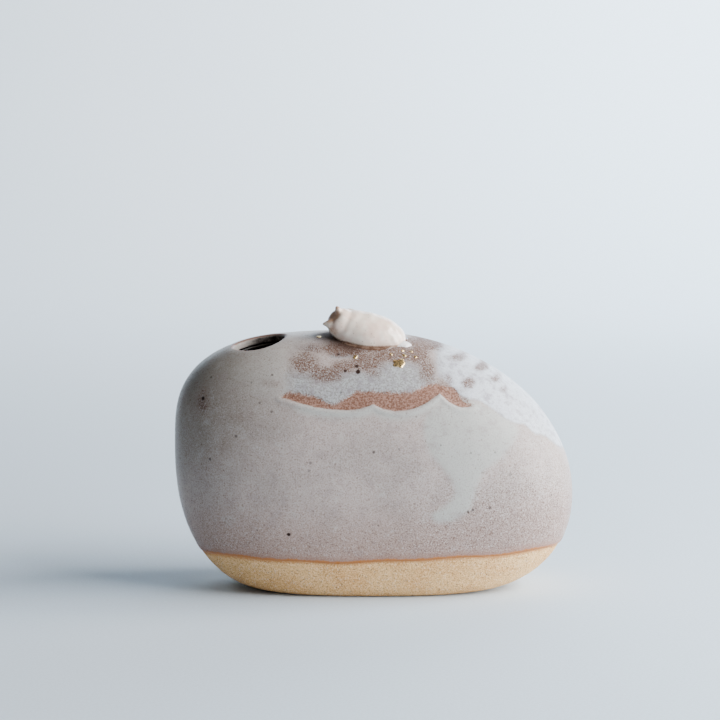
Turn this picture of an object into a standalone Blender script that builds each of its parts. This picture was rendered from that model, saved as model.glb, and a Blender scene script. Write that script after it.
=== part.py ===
"""A hand-built stoneware bud vase, shaped like a river pebble, with a small porcelain animal lying on its crown.

The pebble stands on a flat base on z = 0, its long axis runs along X and the side that is meant to be seen
faces -Y. The origin is the middle of the box around the object, on the ground.

Every skin of the vase is the same pebble surface moved in or out by a depth. From the outside inwards there are
the gold flecks and the porcelain animal, the white overglaze, the outer glaze, the two clay halves and the liner
glaze. Neighbouring skins are kept a small gap apart.
"""

import math

import bmesh
import bpy
import numpy as np
from mathutils import Matrix, Vector

MM = 0.001
GAP = 0.3 * MM

# The pebble's outline from the front: four superellipse quadrants between the two ends, the crown and the base.
HALF_LENGTH = 62.5 * MM
CROWN_HEIGHT = 80.4 * MM
CROWN_X = -5.0 * MM
LEFT_END_HEIGHT = 45.5 * MM
LEFT_CROWN_POWER = 3.0
LEFT_BASE_POWER = 2.3
RIGHT_END_HEIGHT = 29.3 * MM
RIGHT_CROWN_POWER = 2.0
RIGHT_BASE_POWER = 2.1
BASE_HALF_LENGTH = 32.0 * MM

# Its outline from the end, which is the same in front and behind, and the roundness of a level slice.
HALF_DEPTH = 30.0 * MM
WAIST_HEIGHT = 42.0 * MM
WAIST_CROWN_POWER = 2.4
WAIST_BASE_POWER = 2.1
BASE_HALF_DEPTH = 18.0 * MM
SLICE_POWER = 2.7

# Thicknesses through the wall.
WALL = 4.6 * MM
SEAM_HEIGHT = 38.0 * MM
GLAZE_THICKNESS = 0.6 * MM
BARE_CLAY_DEPTH = 0.35 * MM
LINER_THICKNESS = 0.5 * MM
OVERGLAZE_THICKNESS = 0.5 * MM
FLECK_THICKNESS = 0.4 * MM
BOND_THICKNESS = 0.5 * MM

# How far each piece that lies on the pebble stands above its nominal surface.
OVERGLAZE_TOP = GAP + OVERGLAZE_THICKNESS
FLECK_BOTTOM = OVERGLAZE_TOP + GAP
BOND_BOTTOM = OVERGLAZE_TOP + GAP
BOND_TOP = BOND_BOTTOM + BOND_THICKNESS
FOOT_RISE = BOND_TOP + GAP

# The glaze line above the bare foot rises towards the right end.
GLAZE_LINE_HEIGHT = 12.2 * MM
GLAZE_LINE_RISE = 2.6 * MM
GLAZE_LINE_RISE_START = 0.3
BARE_EASE_LEVEL = 0.12

# The white overglaze is poured over the crown. In front it stops at a scalloped edge and one drip runs down.
POUR_LEFT_X = -24.0 * MM
POUR_HEIGHT = 64.0 * MM
POUR_BACK_HEIGHT = 58.0 * MM
POUR_RIGHT_DROP = 17.0 * MM
POUR_RIGHT_START = 28.0 * MM
SCALLOP_HEIGHT = 0.8 * MM
SCALLOP_LENGTH = 18.0 * MM
DRIP_X = 25.0 * MM
DRIP_HALF_WIDTH = 5.0 * MM
DRIP_BOTTOM = 25.0 * MM
DRIP_POWER = 3.0
POUR_STEPS = 90
OVERGLAZE_LOWEST = 20.0 * MM
POUR_CLEARANCE = 6.0 * MM

# The mouth is an oval on the left shoulder, square to the surface there.
MOUTH_X = -35.8 * MM
MOUTH_Y = -6.0 * MM
MOUTH_HALF_LENGTH = 8.0 * MM
MOUTH_HALF_DEPTH = 7.6 * MM
LINER_MOUTH_EASE = 0.6 * MM
MOUTH_CUT_LENGTH = 40.0 * MM

# The porcelain animal lies along X with its snout to the left.
ANIMAL_X = 0.5 * MM
ANIMAL_Y = -8.0 * MM
BODY_RADII = (9.6 * MM, 7.2 * MM, 6.6 * MM)
BODY_RISE = 4.8 * MM
HEAD_RADII = (5.2 * MM, 5.0 * MM, 5.2 * MM)
HEAD_OFFSET = (-8.6 * MM, 0.0, 6.4 * MM)
SNOUT_LENGTH = 4.2 * MM
SNOUT_SHARE = 0.6
SNOUT_POWER = 1.5
NECK_OFFSET = -6.2 * MM
EAR_RADII = (1.0 * MM, 1.5 * MM, 1.7 * MM)
EAR_OFFSET = (-7.2 * MM, 2.7 * MM, 10.6 * MM)
TAIL_RADII = (2.6 * MM, 3.0 * MM, 1.5 * MM)
TAIL_OFFSET = (9.4 * MM, 0.0, 2.6 * MM)
BOND_HALF_LENGTH = 10.6 * MM
BOND_HALF_DEPTH = 7.5 * MM
BOND_CORE_SHARE = 0.5

# Gold flecks: distance along X, distance along Y and half width.
FLECK_PLACES = (
    (-17.0 * MM, -9.5 * MM, 0.6 * MM),
    (-5.7 * MM, -19.3 * MM, 0.7 * MM),
    (5.2 * MM, -17.8 * MM, 0.6 * MM),
    (9.1 * MM, -17.6 * MM, 0.5 * MM),
    (12.5 * MM, -17.5 * MM, 0.7 * MM),
    (11.4 * MM, -15.6 * MM, 0.5 * MM),
    (8.7 * MM, -15.9 * MM, 0.5 * MM),
    (7.7 * MM, -20.4 * MM, 1.6 * MM),
)
FLECK_POINTS = 10
FLECK_RAGGEDNESS = 0.22
FLECK_FINE_RAGGEDNESS = 0.12

# Facets. The skins of the vase share their columns and levels.
COLUMNS = 48
BOND_COLUMNS = 24
EVEN_LEVELS = 16
TOP_LEVEL = 0.972
LEVELS = np.append(np.linspace(0.0, 1.0, EVEN_LEVELS + 1)[1:-1], TOP_LEVEL)
BODY_FACETS = (20, 12)
HEAD_FACETS = (18, 12)
TAIL_FACETS = (12, 8)
EAR_FACETS = (10, 8)
SMALL_STEP = 1e-4
FRAME_STEP = 0.5 * MM
MERGE_DISTANCE = 1e-6
SOLVER_STEPS = 40
BARE_SHARES = (0.0, 0.2, 0.4, 0.6, 0.8, 1.0)
SHARP_ANGLE = math.radians(40)


def clear_scene():
    for scene_object in list(bpy.data.objects):
        bpy.data.objects.remove(scene_object, do_unlink=True)


def smooth_step(value, start, end):
    """0 before start and 1 after end, with a soft ramp between."""
    share = np.clip((value - start) / (end - start), 0.0, 1.0)
    return share * share * (3.0 - 2.0 * share)


def make_material(name, colour, roughness, metallic=0.0):
    material = bpy.data.materials.new(name)
    material.use_nodes = True
    shader = material.node_tree.nodes["Principled BSDF"]
    shader.inputs["Base Color"].default_value = (*colour, 1.0)
    shader.inputs["Roughness"].default_value = roughness
    shader.inputs["Metallic"].default_value = metallic
    return material


# The pebble surface


def quadrant_pair(height, widest_height, crown_power, base_power, reach, crown, base):
    """One side of an outline: from base on the ground, out to reach at the widest height, and in to crown."""
    above = np.clip((height - widest_height) / (CROWN_HEIGHT - widest_height), 0.0, 1.0)
    below = np.clip((widest_height - height) / widest_height, 0.0, 1.0)
    upper = crown + (reach - crown) * (1.0 - above**crown_power) ** (1.0 / crown_power)
    lower = base + (reach - base) * (1.0 - below**base_power) ** (1.0 / base_power)
    return np.where(height > widest_height, upper, lower)


def slice_at(height):
    """The middle along X, the half length and the half depth of the level slice at a height."""
    left = quadrant_pair(
        height, LEFT_END_HEIGHT, LEFT_CROWN_POWER, LEFT_BASE_POWER, -HALF_LENGTH, CROWN_X, -BASE_HALF_LENGTH
    )
    right = quadrant_pair(
        height, RIGHT_END_HEIGHT, RIGHT_CROWN_POWER, RIGHT_BASE_POWER, HALF_LENGTH, CROWN_X, BASE_HALF_LENGTH
    )
    half_depth = quadrant_pair(
        height, WAIST_HEIGHT, WAIST_CROWN_POWER, WAIST_BASE_POWER, HALF_DEPTH, 0.0, BASE_HALF_DEPTH
    )
    return (left + right) / 2, (right - left) / 2, half_depth


def turns(columns=COLUMNS):
    return np.linspace(0.0, 2.0 * math.pi, columns, endpoint=False)


def plan_direction(turn):
    """The point of a unit slice at a turn: 1, 0 is the right end and 0, -1 the middle of the front."""
    along = np.cos(turn)
    across = np.sin(turn)
    size = (np.abs(along) ** SLICE_POWER + np.abs(across) ** SLICE_POWER) ** (1.0 / SLICE_POWER)
    return along / size, across / size


def level_of(height):
    """Levels run from 0 on the ground to 1 at the crown, closer together in height at both ends."""
    return np.arcsin(np.sqrt(np.clip(height / CROWN_HEIGHT, 0.0, 1.0))) * 2.0 / math.pi


def pebble_point(turn, level):
    height = CROWN_HEIGHT * np.sin(level * math.pi / 2) ** 2
    middle, half_length, half_depth = slice_at(height)
    along, across = plan_direction(turn)
    return np.stack(np.broadcast_arrays(middle + half_length * along, half_depth * across, height), axis=-1)


def pebble_normal(turn, level):
    """The outward direction, square to the surface."""
    level = np.clip(level, 2 * SMALL_STEP, 1.0 - 2 * SMALL_STEP)
    around = pebble_point(turn + SMALL_STEP, level) - pebble_point(turn - SMALL_STEP, level)
    upward = pebble_point(turn, level + SMALL_STEP) - pebble_point(turn, level - SMALL_STEP)
    normal = np.cross(around, upward)
    return normal / np.linalg.norm(normal, axis=-1, keepdims=True)


def ring(turn, level, depth):
    """A ring of points on the pebble surface, moved inwards by a depth."""
    level = np.broadcast_to(level, turn.shape)
    return pebble_point(turn, level) - pebble_normal(turn, level) * np.reshape(depth, (-1, 1))


def rings(turn, low, high, depth, levels=LEVELS):
    """Rings upwards between two levels, through the levels that all skins share, so that their facets lie parallel."""
    shared = [level for level in levels if np.min(low) < level < np.max(high)]
    return [ring(turn, np.clip(level, low, high), depth) for level in (low, *shared, high)]


def rings_to_crown(turn, low, depth, levels=LEVELS):
    return rings(turn, low, LEVELS[-1], depth, levels) + [crown_tip(depth)]


def crown_tip(depth):
    return np.array([CROWN_X, 0.0, CROWN_HEIGHT - depth])


def surface_height(x, y):
    """The height of the upper surface above points of the ground plan."""
    low = np.full_like(x, WAIST_HEIGHT)
    high = np.full_like(x, CROWN_HEIGHT)
    for _ in range(SOLVER_STEPS):
        middle_height = (low + high) / 2
        middle, half_length, half_depth = slice_at(middle_height)
        reach = np.abs((x - middle) / half_length) ** SLICE_POWER + np.abs(y / half_depth) ** SLICE_POWER
        inside = reach < 1.0
        low = np.where(inside, middle_height, low)
        high = np.where(inside, high, middle_height)
    return low


def surface_frame(x, y):
    """A point of the upper surface and the direction square to it."""
    near = FRAME_STEP
    xs = np.array([x, x - near, x + near, x, x])
    ys = np.array([y, y, y, y - near, y + near])
    heights = surface_height(xs, ys)
    slope_x = (heights[2] - heights[1]) / (2 * near)
    slope_y = (heights[4] - heights[3]) / (2 * near)
    return Vector((x, y, heights[0])), Vector((-slope_x, -slope_y, 1.0)).normalized()


# Solids


def add_object(name, mesh, material):
    part = bpy.data.objects.new(name, mesh)
    bpy.context.scene.collection.objects.link(part)
    if material is not None:
        mesh.materials.append(material)
    return part


def finish_mesh(name, shape):
    bmesh.ops.recalc_face_normals(shape, faces=shape.faces)
    mesh = bpy.data.meshes.new(name)
    shape.to_mesh(mesh)
    shape.free()
    mesh.shade_smooth()
    mesh.set_sharp_from_angle(angle=SHARP_ANGLE)
    return mesh


def loft_mesh(name, loops):
    """A closed skin through rings of points. A single point at either end closes it, and so does a flat ring."""
    shape = bmesh.new()
    rows = [[shape.verts.new(point) for point in np.reshape(loop, (-1, 3))] for loop in loops]
    for below, above in zip(rows, rows[1:]):
        count = max(len(below), len(above))
        for index in range(count):
            after = (index + 1) % count
            if len(below) == 1:
                shape.faces.new((below[0], above[index], above[after]))
            elif len(above) == 1:
                shape.faces.new((below[index], below[after], above[0]))
            else:
                shape.faces.new((below[index], below[after], above[after], above[index]))
    for end in (rows[0], rows[-1]):
        if len(end) > 2:
            shape.faces.new(end)
    bmesh.ops.remove_doubles(shape, verts=shape.verts, dist=MERGE_DISTANCE)
    return finish_mesh(name, shape)


def cut(part, cutter, operation="DIFFERENCE"):
    modifier = part.modifiers.new(cutter.name, "BOOLEAN")
    modifier.operation = operation
    modifier.solver = "EXACT"
    modifier.object = cutter


def hide_cutter(cutter):
    cutter.hide_render = True
    cutter.display_type = "WIRE"
    return cutter


def mouth_cutter(name, ease):
    """An oval bar through the shoulder, larger than the mouth by an ease."""
    centre, normal = surface_frame(MOUTH_X, MOUTH_Y)
    shape = bmesh.new()
    bmesh.ops.create_cone(
        shape, cap_ends=True, segments=COLUMNS, radius1=1.0, radius2=1.0, depth=MOUTH_CUT_LENGTH
    )
    sides = Matrix.Diagonal((MOUTH_HALF_LENGTH + ease, MOUTH_HALF_DEPTH + ease, 1.0, 1.0))
    along = Vector((1.0, 0.0, 0.0))
    along = (along - normal * along.dot(normal)).normalized()
    turned = Matrix((along, normal.cross(along), normal)).transposed().to_4x4()
    bmesh.ops.transform(shape, matrix=Matrix.Translation(centre) @ turned @ sides, verts=shape.verts)
    return hide_cutter(add_object(name, finish_mesh(name, shape), None))


def glaze_line(turn):
    along, _ = plan_direction(turn)
    return GLAZE_LINE_HEIGHT + GLAZE_LINE_RISE * smooth_step(along, GLAZE_LINE_RISE_START, 1.0)


def bare_depth(level):
    """The bare foot is a little inside the glaze, and comes out to the flat base at the ground."""
    return BARE_CLAY_DEPTH * smooth_step(level, 0.0, BARE_EASE_LEVEL)


def make_lower_half(clay):
    turn = turns()
    line = glaze_line(turn)
    bare_top = level_of(line - GAP)
    bare = [ring(turn, bare_top * share, bare_depth(bare_top * share)) for share in BARE_SHARES]
    bare[0][:, 2] = 0.0
    seam = level_of(SEAM_HEIGHT - GAP / 2)
    glazed = rings(turn, level_of(line), seam, GLAZE_THICKNESS + GAP)
    inside = rings(turn, 0.0, seam, WALL)
    inside[0][:, 2] = WALL
    return add_object("lower_half", loft_mesh("lower_half", bare + glazed + inside[::-1]), clay)


def make_upper_half(clay, mouth):
    turn = turns()
    seam = level_of(SEAM_HEIGHT + GAP / 2)
    outside = rings_to_crown(turn, seam, GLAZE_THICKNESS + GAP)
    inside = rings_to_crown(turn, seam, WALL)
    part = add_object("upper_half", loft_mesh("upper_half", outside[::-1] + inside), clay)
    cut(part, mouth)
    return part


def make_outer_glaze(glaze, mouth):
    turn = turns()
    line = level_of(glaze_line(turn))
    outside = rings_to_crown(turn, line, 0.0)
    inside = rings_to_crown(turn, line, GLAZE_THICKNESS)
    part = add_object("outer_glaze", loft_mesh("outer_glaze", outside[::-1] + inside), glaze)
    cut(part, mouth)
    return part


def cavity_mesh(name, depth):
    """The closed hollow inside the pebble at a depth, with a flat floor, on every other facet of the clay."""
    sides = rings_to_crown(turns(COLUMNS // 2), 0.0, depth, LEVELS[1::2])
    sides[0][:, 2] = depth
    return loft_mesh(name, sides)


def make_liner_glaze(glaze, liner_mouth):
    outer_depth = WALL + GAP
    inner = add_object("liner_hollow", cavity_mesh("liner_hollow", outer_depth + LINER_THICKNESS), None)
    part = add_object("liner_glaze", cavity_mesh("liner_glaze", outer_depth), glaze)
    cut(part, hide_cutter(inner))
    cut(part, liner_mouth)
    return part


def pour_outline(top_edge, drips):
    """The poured area from the front: along its lower edge from left to right, then back over the crown."""
    x = np.linspace(POUR_LEFT_X, HALF_LENGTH + POUR_CLEARANCE, POUR_STEPS)
    edge = top_edge - POUR_RIGHT_DROP * smooth_step(x, POUR_RIGHT_START, HALF_LENGTH)
    edge += SCALLOP_HEIGHT * np.cos(2 * math.pi * x / SCALLOP_LENGTH)
    if drips:
        off_drip = np.clip(np.abs(x - DRIP_X) / DRIP_HALF_WIDTH, 0.0, 1.0)
        edge -= (edge - DRIP_BOTTOM) * (1.0 - off_drip**DRIP_POWER) ** (1.0 / DRIP_POWER)
    above = np.full_like(x, CROWN_HEIGHT + POUR_CLEARANCE)
    return np.append(x, x[::-1]), np.append(edge, above)


def make_pour_volume():
    """Everything above the edge of the pour, with one edge in front of the long axis and a plainer one behind."""
    reach = HALF_DEPTH + POUR_CLEARANCE
    loops = []
    for y, outline in (
        (-reach, pour_outline(POUR_HEIGHT, True)),
        (-POUR_CLEARANCE / 2, pour_outline(POUR_HEIGHT, True)),
        (POUR_CLEARANCE / 2, pour_outline(POUR_BACK_HEIGHT, False)),
        (reach, pour_outline(POUR_BACK_HEIGHT, False)),
    ):
        x, z = outline
        loops.append(np.stack((x, np.full_like(x, y), z), axis=-1))
    return hide_cutter(add_object("pour_volume", loft_mesh("pour_volume", loops), None))


def make_white_overglaze(glaze):
    turn = turns()
    lowest = level_of(OVERGLAZE_LOWEST)
    outside = rings_to_crown(turn, lowest, -OVERGLAZE_TOP)
    inside = rings_to_crown(turn, lowest, -GAP)
    part = add_object("white_overglaze", loft_mesh("white_overglaze", outside[::-1] + inside), glaze)
    cut(part, make_pour_volume(), "INTERSECT")
    return part


# The porcelain animal


def animal_place(offset):
    """A place on the animal, measured from the ground under its middle."""
    ground = surface_height(np.array([ANIMAL_X]), np.array([ANIMAL_Y]))[0]
    return np.array([ANIMAL_X + offset[0], ANIMAL_Y + offset[1], ground + offset[2]])


def ball_points(centre, radii, facets):
    shape = bmesh.new()
    bmesh.ops.create_uvsphere(shape, u_segments=facets[0], v_segments=facets[1], radius=1.0)
    for vertex in shape.verts:
        vertex.co = Vector(centre) + Vector(vertex.co * Vector(radii))
    return shape


def stand_on_pebble(shape):
    """Flattens the underside of a piece onto the surface below it."""
    for vertex in shape.verts:
        floor = surface_height(np.array([vertex.co.x]), np.array([vertex.co.y]))[0] + FOOT_RISE
        vertex.co.z = max(vertex.co.z, floor)


def make_animal_body(porcelain):
    centre = animal_place((0.0, 0.0, BODY_RISE))
    shape = ball_points(centre, BODY_RADII, BODY_FACETS)
    neck = ANIMAL_X + NECK_OFFSET + GAP / 2
    for vertex in shape.verts:
        vertex.co.x = max(vertex.co.x, neck)
    stand_on_pebble(shape)
    return add_object("animal_body", finish_mesh("animal_body", shape), porcelain)


def head_shape(grow):
    """A ball drawn out to a snout on the left and cut flat at the neck."""
    centre = animal_place(HEAD_OFFSET)
    shape = ball_points(centre, [radius + grow for radius in HEAD_RADII], HEAD_FACETS)
    for vertex in shape.verts:
        towards_snout = max(0.0, (centre[0] - vertex.co.x) / HEAD_RADII[0])
        off_axis = (vertex.co - Vector(centre)).yz.length / HEAD_RADII[2]
        drawn = max(0.0, 1.0 - off_axis / SNOUT_SHARE) ** SNOUT_POWER
        vertex.co.x -= SNOUT_LENGTH * towards_snout * drawn
        vertex.co.x = min(vertex.co.x, ANIMAL_X + NECK_OFFSET - GAP / 2 + grow)
    stand_on_pebble(shape)
    return shape


def make_animal_head(porcelain):
    return add_object("animal_head", finish_mesh("animal_head", head_shape(0.0)), porcelain)


def make_animal_ear(name, side, porcelain, head_cutter):
    centre = animal_place((EAR_OFFSET[0], EAR_OFFSET[1] * side, EAR_OFFSET[2]))
    shape = ball_points(centre, EAR_RADII, EAR_FACETS)
    part = add_object(name, finish_mesh(name, shape), porcelain)
    cut(part, head_cutter)
    return part


def make_animal_tail(porcelain):
    shape = ball_points(animal_place(TAIL_OFFSET), TAIL_RADII, TAIL_FACETS)
    stand_on_pebble(shape)
    part = add_object("animal_tail", finish_mesh("animal_tail", shape), porcelain)
    grown = [radius + GAP for radius in BODY_RADII]
    cutter_shape = ball_points(animal_place((0.0, 0.0, BODY_RISE)), grown, BODY_FACETS)
    cut(part, hide_cutter(add_object("tail_cutter", finish_mesh("tail_cutter", cutter_shape), None)))
    return part


def make_figure_bond(glaze):
    """A pad of melted glaze under the animal, following the pebble."""
    turn = turns(BOND_COLUMNS)
    loops = []
    for share, rise in (
        (BOND_CORE_SHARE, BOND_BOTTOM),
        (1.0, BOND_BOTTOM),
        (1.0, BOND_TOP),
        (BOND_CORE_SHARE, BOND_TOP),
    ):
        x = ANIMAL_X + BOND_HALF_LENGTH * share * np.cos(turn)
        y = ANIMAL_Y + BOND_HALF_DEPTH * share * np.sin(turn)
        loops.append(np.stack((x, y, surface_height(x, y) + rise), axis=-1))
    bottom = animal_place((0.0, 0.0, BOND_BOTTOM))
    top = animal_place((0.0, 0.0, BOND_TOP))
    return add_object("figure_bond", loft_mesh("figure_bond", [bottom] + loops + [top]), glaze)


def make_gold_fleck(number, x, y, half_width, gold):
    """A thin flake with a ragged outline, lying on the overglaze."""
    centre, normal = surface_frame(x, y)
    across = Vector((1.0, 0.0, 0.0)).cross(normal).normalized()
    along = across.cross(normal)
    loops = []
    for rise in (FLECK_BOTTOM, FLECK_BOTTOM + FLECK_THICKNESS):
        points = []
        for turn in turns(FLECK_POINTS):
            ragged = FLECK_RAGGEDNESS * math.sin(2.3 * number + 3.0 * turn)
            ragged += FLECK_FINE_RAGGEDNESS * math.cos(5.0 * turn)
            reach = half_width * (1.0 + ragged)
            points.append(centre + normal * rise + along * reach * math.cos(turn) + across * reach * math.sin(turn))
        loops.append(np.array(points))
    name = f"gold_fleck_{number}"
    return add_object(name, loft_mesh(name, loops), gold)


def main():
    clear_scene()
    clay = make_material("stoneware_clay", (0.61, 0.40, 0.24), 0.92)
    outer = make_material("speckled_glaze", (0.52, 0.47, 0.45), 0.42)
    white = make_material("white_glaze", (0.60, 0.61, 0.62), 0.38)
    liner = make_material("liner_glaze", (0.42, 0.41, 0.39), 0.35)
    porcelain = make_material("porcelain", (0.76, 0.69, 0.65), 0.22)
    bond = make_material("bond_glaze", (0.36, 0.27, 0.20), 0.35)
    gold = make_material("gold", (0.83, 0.58, 0.25), 0.28, 1.0)

    mouth = mouth_cutter("mouth_cutter", 0.0)
    liner_mouth = mouth_cutter("liner_mouth_cutter", LINER_MOUTH_EASE)
    make_lower_half(clay)
    make_upper_half(clay, mouth)
    make_outer_glaze(outer, mouth)
    make_white_overglaze(white)
    make_liner_glaze(liner, liner_mouth)

    make_figure_bond(bond)
    make_animal_body(porcelain)
    make_animal_head(porcelain)
    head_cutter = hide_cutter(add_object("head_cutter", finish_mesh("head_cutter", head_shape(GAP)), None))
    make_animal_ear("animal_ear_front", -1.0, porcelain, head_cutter)
    make_animal_ear("animal_ear_back", 1.0, porcelain, head_cutter)
    make_animal_tail(porcelain)
    for number, (x, y, half_width) in enumerate(FLECK_PLACES, start=1):
        make_gold_fleck(number, x, y, half_width, gold)


main()
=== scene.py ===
"""The looks of a hand-built stoneware bud vase in the shape of a river pebble.

The coat of glaze, the bare clay foot and the glazed hollow are fine meshes of one pebble surface, whose
length, depth, crown and glaze line come from the box of the outer glaze. The colours are painted by
distances from the edges of the pours, measured in the view from the front, and broken up by noise in the
materials. The vase is worked out in millimetres and the studio in metres.
"""

import math

import bmesh
import bpy
import numpy as np
from mathutils import Euler, Matrix, Vector, noise


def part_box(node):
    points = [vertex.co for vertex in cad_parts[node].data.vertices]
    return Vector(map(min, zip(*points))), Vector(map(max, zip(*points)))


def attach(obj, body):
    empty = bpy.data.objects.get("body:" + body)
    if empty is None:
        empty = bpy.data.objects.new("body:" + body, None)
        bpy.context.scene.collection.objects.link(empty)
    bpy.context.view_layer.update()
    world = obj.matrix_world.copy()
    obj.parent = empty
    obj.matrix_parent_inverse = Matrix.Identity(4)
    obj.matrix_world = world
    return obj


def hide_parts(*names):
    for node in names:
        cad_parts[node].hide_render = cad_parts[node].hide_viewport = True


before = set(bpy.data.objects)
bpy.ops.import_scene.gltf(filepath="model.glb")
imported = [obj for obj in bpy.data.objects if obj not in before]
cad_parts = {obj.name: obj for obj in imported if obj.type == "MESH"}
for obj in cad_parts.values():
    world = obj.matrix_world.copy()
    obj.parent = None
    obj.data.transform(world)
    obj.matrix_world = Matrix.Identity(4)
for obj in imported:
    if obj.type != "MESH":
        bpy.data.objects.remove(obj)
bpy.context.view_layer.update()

MM = 0.001
BODY = "root"

# The pebble, in millimetres. Its overall size comes from the box of the outer glaze.
GLAZE_LOW, GLAZE_HIGH = (Vector(corner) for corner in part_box("outer_glaze"))
HALF_LENGTH = (GLAZE_HIGH.x - GLAZE_LOW.x) / 2 / MM
HALF_DEPTH = (GLAZE_HIGH.y - GLAZE_LOW.y) / 2 / MM
CROWN = GLAZE_HIGH.z / MM
GLAZE_LINE = GLAZE_LOW.z / MM
CROWN_X = -5.0
WAIST_HEIGHT = 42.0
# Each side: the height where it is widest, and the powers of its curves to the crown and the base.
LEFT_SIDE = (45.5, 3.0, 2.3)
RIGHT_SIDE = (29.3, 2.0, 2.1)
WAIST = (WAIST_HEIGHT, 2.4, 2.1)
BASE_HALF_LENGTH, BASE_HALF_DEPTH = 32.0, 18.0
SLICE_POWER = 2.7
WALL = 4.6
RIM_WALL = 2.4
GLAZE_RISE = 2.6

# The mouth is an oval on the left shoulder.
MOUTH_X, MOUTH_Y = -35.8, -6.0
MOUTH_HALF_LENGTH, MOUTH_HALF_DEPTH = 8.0, 7.6
LIP_RADIUS = 1.0
HEART = np.array([0.0, 0.0, 40.0])

COAT_COLUMNS = 380
COAT_ROWS = 236
COAT_WALL_ROWS = 30
COAT_FOOT_WALL = 1.2
NECK_DEPTHS = (0.4, 0.8, 1.2)
# The paint past the lip of the mouth, where no edge of a pour comes.
HIDDEN_PAINT = {"above_edge": -9.0, "below_edge": -9.0, "white": 0.0, "brown": 0.0, "above_line": 20.0}
FRONT_CROWDING = 0.35
SEARCH_STEPS = 34


def smooth_step(value, start, end):
    share = np.clip((np.asarray(value, float) - start) / (end - start), 0.0, 1.0)
    return share * share * (3.0 - 2.0 * share)


def bump(value, middle, half_width):
    """1 at the middle, falling softly towards 0 on both sides."""
    return np.exp(-(((np.asarray(value, float) - middle) / half_width) ** 2))


# The pebble surface, in millimetres


def quadrant_pair(height, side, reach, crown, base):
    widest, crown_power, base_power = side
    above = np.clip((height - widest) / (CROWN - widest), 0.0, 1.0)
    below = np.clip((widest - height) / widest, 0.0, 1.0)
    upper = crown + (reach - crown) * (1.0 - above**crown_power) ** (1.0 / crown_power)
    lower = base + (reach - base) * (1.0 - below**base_power) ** (1.0 / base_power)
    return np.where(height > widest, upper, lower)


def slice_at(height):
    left = quadrant_pair(height, LEFT_SIDE, -HALF_LENGTH, CROWN_X, -BASE_HALF_LENGTH)
    right = quadrant_pair(height, RIGHT_SIDE, HALF_LENGTH, CROWN_X, BASE_HALF_LENGTH)
    half_depth = quadrant_pair(height, WAIST, HALF_DEPTH, 0.0, BASE_HALF_DEPTH)
    return (left + right) / 2, np.maximum((right - left) / 2, 1e-6), np.maximum(half_depth, 1e-6)


def front_of_slice(x, z):
    """The y of the front of the surface at an x and a height."""
    middle, half_length, half_depth = slice_at(z)
    along = min(abs(x - middle) / half_length, 1.0)
    return -half_depth * (1.0 - along**SLICE_POWER) ** (1.0 / SLICE_POWER)


def is_inside(points):
    height = points[..., 2]
    middle, half_length, half_depth = slice_at(np.clip(height, 0.0, CROWN))
    along = np.abs((points[..., 0] - middle) / half_length) ** SLICE_POWER
    across = np.abs(points[..., 1] / half_depth) ** SLICE_POWER
    return (along + across < 1.0) & (height > 0.0) & (height < CROWN)


def search(shape, low, high, test):
    """Where a test stops being true on the way from low to high, for an array of a shape."""
    low = np.full(shape, low)
    high = np.full(shape, high)
    for _ in range(SEARCH_STEPS):
        half_way = (low + high) / 2
        passed = test(half_way)
        low = np.where(passed, half_way, low)
        high = np.where(passed, high, half_way)
    return low


def reach_surface(directions):
    """Where rays from the heart of the pebble meet its surface."""

    def inside(reach):
        return is_inside(HEART + directions * reach[..., None])

    reach = search(directions.shape[:-1], 0.0, 2.0 * HALF_LENGTH, inside)
    return HEART + directions * reach[..., None]


def surface_height(x, y):
    """The height of the upper surface above points of the ground plan."""

    def inside(height):
        return is_inside(np.stack((x, y, height), axis=-1))

    return search(np.shape(x), WAIST_HEIGHT, CROWN, inside)


def surface_frame(x, y):
    """A point of the upper surface in millimetres, with the directions along, across and square to it."""
    xs = np.array([x, x - 0.5, x + 0.5, x, x])
    ys = np.array([y, y, y, y - 0.5, y + 0.5])
    heights = surface_height(xs, ys)
    normal = Vector((heights[1] - heights[2], heights[3] - heights[4], 1.0)).normalized()
    along = Vector((1.0, 0.0, 0.0))
    along = (along - normal * along.dot(normal)).normalized()
    return Vector((x, y, heights[0])), along, normal.cross(along), normal


# A net over the pebble whose pole is the mouth, so that the rim is one of its rings

MOUTH_PLACE, MOUTH_ALONG, MOUTH_ACROSS, MOUTH_OUT = (np.array(v) for v in surface_frame(MOUTH_X, MOUTH_Y))
POLE = (MOUTH_PLACE - HEART) / np.linalg.norm(MOUTH_PLACE - HEART)
FRONT = np.array([0.0, -1.0, 0.0]) - POLE * np.dot([0.0, -1.0, 0.0], POLE)
FRONT /= np.linalg.norm(FRONT)
SIDE = np.cross(POLE, FRONT)


def ray(tilt, turn):
    """The direction at a tilt from the pole and a turn from the front."""
    sideways = np.cos(turn)[..., None] * FRONT + np.sin(turn)[..., None] * SIDE
    return np.cos(tilt)[..., None] * POLE + np.sin(tilt)[..., None] * sideways


def tilt_where(turn, test):
    """The tilt along each turn at which a test of surface points stops being true."""
    return search(turn.shape, 0.01, math.pi - 0.01, lambda tilt: test(reach_surface(ray(tilt, turn))))


def mouth_tilt(turn, ease):
    """Where the surface leaves the mouth's oval, made larger by an ease."""

    def within(points):
        offset = points - MOUTH_PLACE
        along = offset @ MOUTH_ALONG / (MOUTH_HALF_LENGTH + ease)
        across = offset @ MOUTH_ACROSS / (MOUTH_HALF_DEPTH + ease)
        return (along**2 + across**2 < 1.0) & (offset @ MOUTH_OUT > -HALF_DEPTH / 2)

    return tilt_where(turn, within)


def noise_of(points, size, seed=0.0):
    """Smooth noise between about -1 and 1, whose lumps are as wide as size in millimetres."""
    shift = Vector((seed, 2.0 * seed, -seed))
    flat = points.reshape(-1, 3) / size
    values = [noise.noise(Vector(point) + shift) for point in flat]
    return np.array(values).reshape(points.shape[:-1])


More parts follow.
